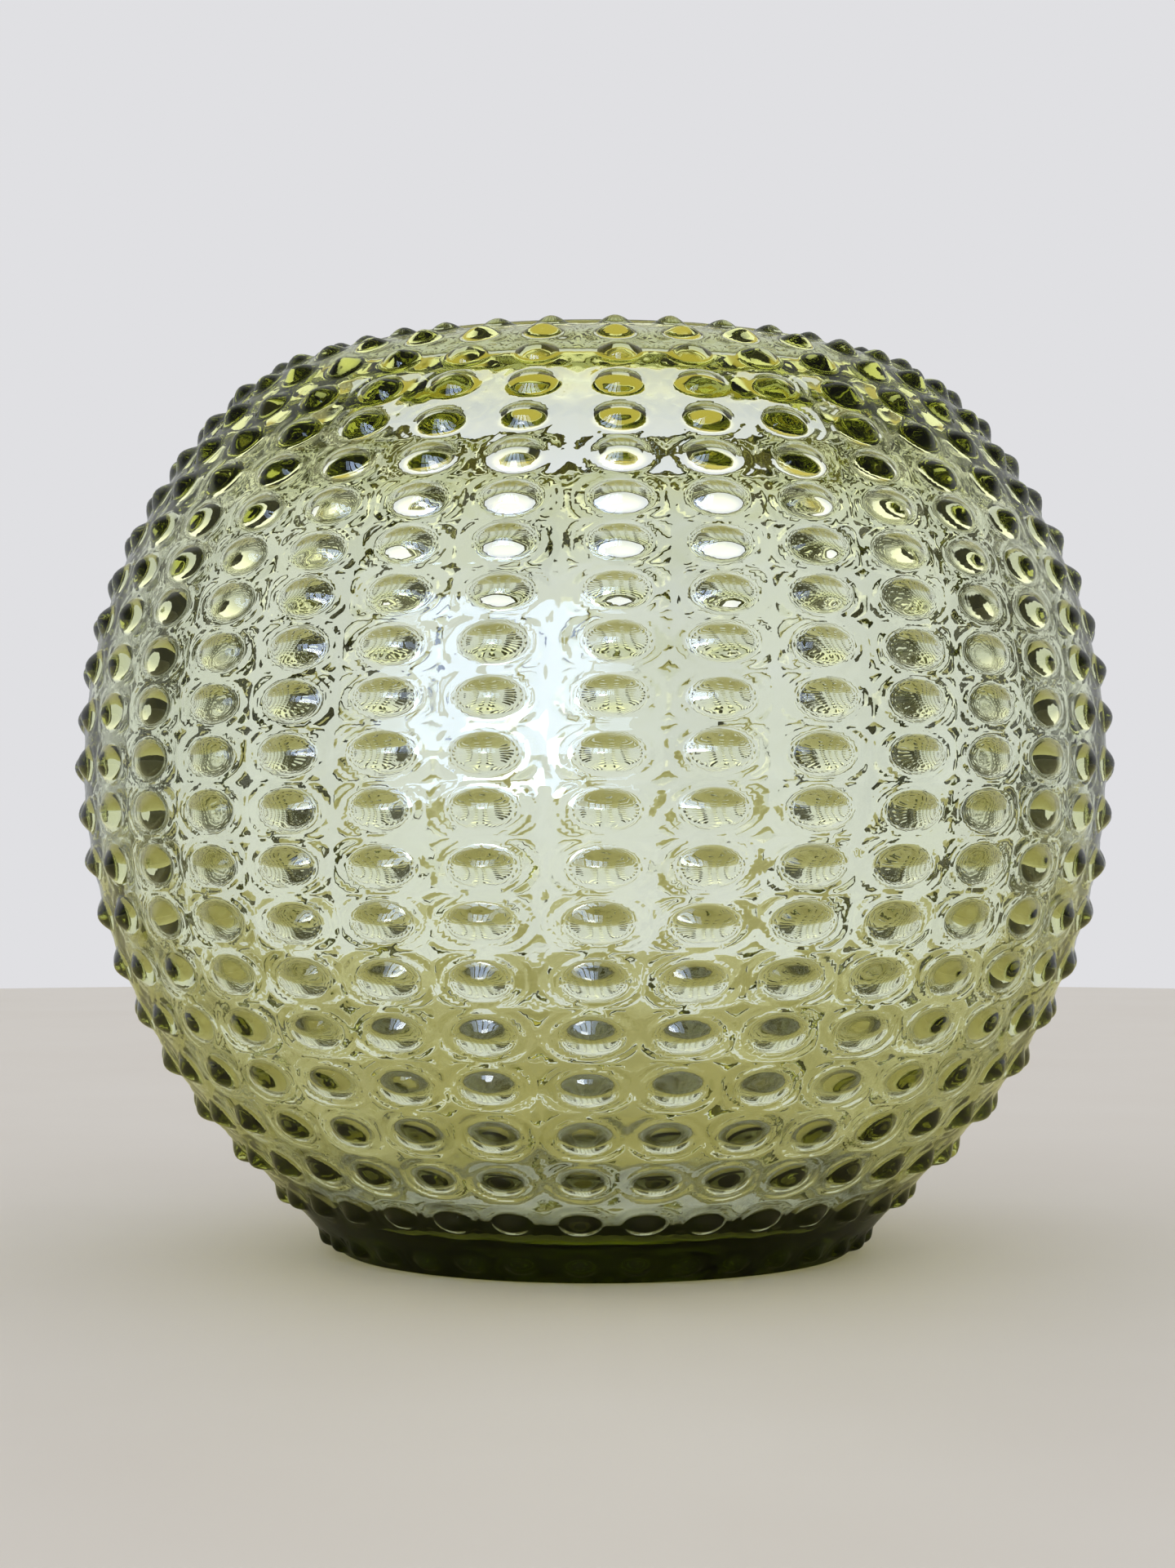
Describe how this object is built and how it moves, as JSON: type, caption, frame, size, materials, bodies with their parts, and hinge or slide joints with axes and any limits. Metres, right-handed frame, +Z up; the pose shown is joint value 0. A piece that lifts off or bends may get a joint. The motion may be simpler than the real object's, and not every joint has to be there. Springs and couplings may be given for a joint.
{
  "type": "glass cloche",
  "caption": "Round hobnail glass globe with a thick solid foot and an open mouth, used as a plant cloche, terrarium or vase.",
  "frame": {"origin": "centre of the foot's underside, on the plane that it rests on", "axes": "+Z up along the globe's axis, out through the mouth; the mould seams lie near -Y and +Y"},
  "size_m": [0.349, 0.3498, 0.3001],
  "materials": {
    "olive_glass": "fire-polished, clear smoky olive green"
  },
  "bodies": {
    "root": {"solid_foot": "olive_glass", "lower_wall": "olive_glass", "belly_wall": "olive_glass", "crown_wall": "olive_glass", "shoulder_wall": "olive_glass", "mouth_rim": "olive_glass", "hobnail_row_01": "olive_glass", "hobnail_row_02": "olive_glass", "hobnail_row_03": "olive_glass", "hobnail_row_04": "olive_glass", "hobnail_row_05": "olive_glass", "hobnail_row_06": "olive_glass", "hobnail_row_07": "olive_glass", "hobnail_row_08": "olive_glass", "hobnail_row_09": "olive_glass", "hobnail_row_10": "olive_glass", "hobnail_row_11": "olive_glass", "hobnail_row_12": "olive_glass", "hobnail_row_13": "olive_glass", "hobnail_row_14": "olive_glass", "hobnail_row_15": "olive_glass", "hobnail_row_16": "olive_glass", "hobnail_row_17": "olive_glass", "hobnail_row_18": "olive_glass", "hobnail_row_19": "olive_glass", "hobnail_row_20": "olive_glass", "hobnail_row_21": "olive_glass", "hobnail_row_22": "olive_glass"}
  },
  "joints": []
}
